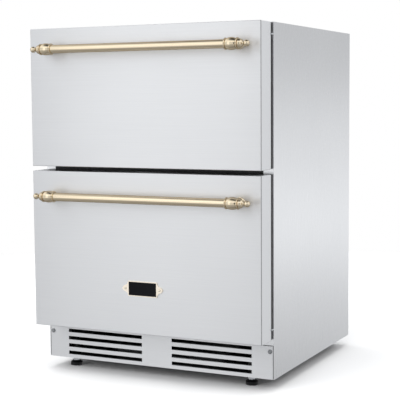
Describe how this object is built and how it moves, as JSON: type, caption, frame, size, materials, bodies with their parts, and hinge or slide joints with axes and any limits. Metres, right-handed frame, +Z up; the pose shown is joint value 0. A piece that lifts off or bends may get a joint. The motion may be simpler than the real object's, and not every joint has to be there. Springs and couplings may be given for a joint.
{
  "type": "under counter fridge",
  "caption": "Stainless under-counter refrigerator: stacked insulated drawers on telescopic slides, round bar handles, slotted toe kick and levelling feet.",
  "frame": {"origin": "on the floor, under the middle of the object's whole box with the drawers shut", "axes": "+X right seen from the front, -Y the way the drawers open, +Z up"},
  "size_m": [0.6, 0.64, 0.83],
  "materials": {
    "brushed_steel": "satin",
    "galvanised": "satin",
    "brass": "polished",
    "badge_black": "gloss",
    "mullion_black": "satin",
    "gasket_rubber": "matte",
    "liner_plastic": "satin",
    "foam": "matte",
    "bin_steel": "satin",
    "slide_steel": "satin",
    "foot_black": "satin",
    "compressor_black": "gloss",
    "grommet_rubber": "matte",
    "coil_aluminium": "satin",
    "copper": "satin",
    "fan_plastic": "satin",
    "motor_metal": "satin",
    "white_plastic": "gloss",
    "grey_plastic": "satin",
    "black_plastic": "satin",
    "bumper_clear": "satin",
    "led_diffuser": "gloss"
  },
  "bodies": {
    "cabinet": {"side_panel_left": "brushed_steel", "side_panel_right": "brushed_steel", "top_panel": "brushed_steel", "rear_panel": "galvanised", "machine_bay_cover": "galvanised", "base_pan": "compressor_black", "machine_bay_divider": "galvanised", "inner_liner": "liner_plastic", "insulation_foam": "foam", "mullion": "mullion_black", "toe_kick_grille": "brushed_steel", "toe_kick_screws": "brushed_steel", "rear_fasteners": "slide_steel", "drawer_bumpers": "bumper_clear", "slide_outer_members": "slide_steel", "compressor": "compressor_black", "compressor_grommets": "grommet_rubber", "condenser_coil": "coil_aluminium", "condenser_fan_shroud": "galvanised", "condenser_fan_motor": "motor_metal", "refrigerant_lines": "copper", "condensate_pan": "black_plastic", "power_cord_gland": "black_plastic", "evaporator_coil": "coil_aluminium", "evaporator_cover": "liner_plastic", "evaporator_fan_motor": "motor_metal", "control_housing": "grey_plastic", "led_strip": "led_diffuser"},
    "upper_drawer": {"upper_drawer_front_skin": "brushed_steel", "upper_drawer_foam_core": "foam", "upper_drawer_inner_panel": "liner_plastic", "upper_drawer_gasket": "gasket_rubber", "upper_drawer_bin": "bin_steel", "upper_slide_inner_members": "slide_steel", "upper_handle_bar": "brass", "upper_handle_brackets": "brass", "upper_handle_screws": "slide_steel"},
    "lower_drawer": {"lower_drawer_front_skin": "brushed_steel", "lower_drawer_foam_core": "foam", "lower_drawer_inner_panel": "liner_plastic", "lower_drawer_gasket": "gasket_rubber", "lower_drawer_bin": "bin_steel", "lower_slide_inner_members": "slide_steel", "lower_handle_bar": "brass", "lower_handle_brackets": "brass", "lower_handle_screws": "slide_steel", "badge_frame": "brass", "badge_plate": "badge_black", "badge_pins": "brass"},
    "upper_slide_middles": {"upper_slide_middle_members": "slide_steel"},
    "lower_slide_middles": {"lower_slide_middle_members": "slide_steel"},
    "condenser_fan": {"condenser_fan_wheel": "fan_plastic"},
    "evaporator_fan": {"evaporator_fan_wheel": "fan_plastic"},
    "power_button": {"power_button": "white_plastic"},
    "colder_button": {"colder_button": "white_plastic"},
    "warmer_button": {"warmer_button": "white_plastic"},
    "front_left_foot": {"front_left_foot": "foot_black"},
    "front_right_foot": {"front_right_foot": "foot_black"},
    "rear_left_foot": {"rear_left_foot": "foot_black"},
    "rear_right_foot": {"rear_right_foot": "foot_black"}
  },
  "joints": [
    {"name": "upper_drawer_slide", "type": "slide", "parent": "cabinet", "child": "upper_drawer", "axis": [0, -1, 0], "range_m": [0, 0.4]},
    {"name": "upper_slide_middles_travel", "type": "slide", "parent": "cabinet", "child": "upper_slide_middles", "axis": [0, -1, 0], "range_m": [0, 0.2]},
    {"name": "lower_drawer_slide", "type": "slide", "parent": "cabinet", "child": "lower_drawer", "axis": [0, -1, 0], "range_m": [0, 0.4]},
    {"name": "lower_slide_middles_travel", "type": "slide", "parent": "cabinet", "child": "lower_slide_middles", "axis": [0, -1, 0], "range_m": [0, 0.2]},
    {"name": "condenser_fan_spin", "type": "hinge", "parent": "cabinet", "child": "condenser_fan", "pos_m": [-0.088, 0.22695, 0.146], "axis": [1, 0, 0], "continuous": true},
    {"name": "evaporator_fan_spin", "type": "hinge", "parent": "cabinet", "child": "evaporator_fan", "pos_m": [0, 0.2335, 0.43], "axis": [0, 1, 0], "continuous": true},
    {"name": "power_button_press", "type": "slide", "parent": "cabinet", "child": "power_button", "axis": [0, 1, 0], "range_m": [0, 0.002], "stiffness_N_per_m": 300, "springref_m": -0.001},
    {"name": "colder_button_press", "type": "slide", "parent": "cabinet", "child": "colder_button", "axis": [0, 1, 0], "range_m": [0, 0.002], "stiffness_N_per_m": 300, "springref_m": -0.001},
    {"name": "warmer_button_press", "type": "slide", "parent": "cabinet", "child": "warmer_button", "axis": [0, 1, 0], "range_m": [0, 0.002], "stiffness_N_per_m": 300, "springref_m": -0.001},
    {"name": "front_left_foot_height", "type": "slide", "parent": "cabinet", "child": "front_left_foot", "axis": [0, 0, -1], "range_m": [0, 0.018]},
    {"name": "front_right_foot_height", "type": "slide", "parent": "cabinet", "child": "front_right_foot", "axis": [0, 0, -1], "range_m": [0, 0.018]},
    {"name": "rear_left_foot_height", "type": "slide", "parent": "cabinet", "child": "rear_left_foot", "axis": [0, 0, -1], "range_m": [0, 0.018]},
    {"name": "rear_right_foot_height", "type": "slide", "parent": "cabinet", "child": "rear_right_foot", "axis": [0, 0, -1], "range_m": [0, 0.018]}
  ],
  "couplings": [
    {"joint": "upper_slide_middles_travel", "follows": "upper_drawer_slide", "ratio": 0.5},
    {"joint": "lower_slide_middles_travel", "follows": "lower_drawer_slide", "ratio": 0.5}
  ]
}
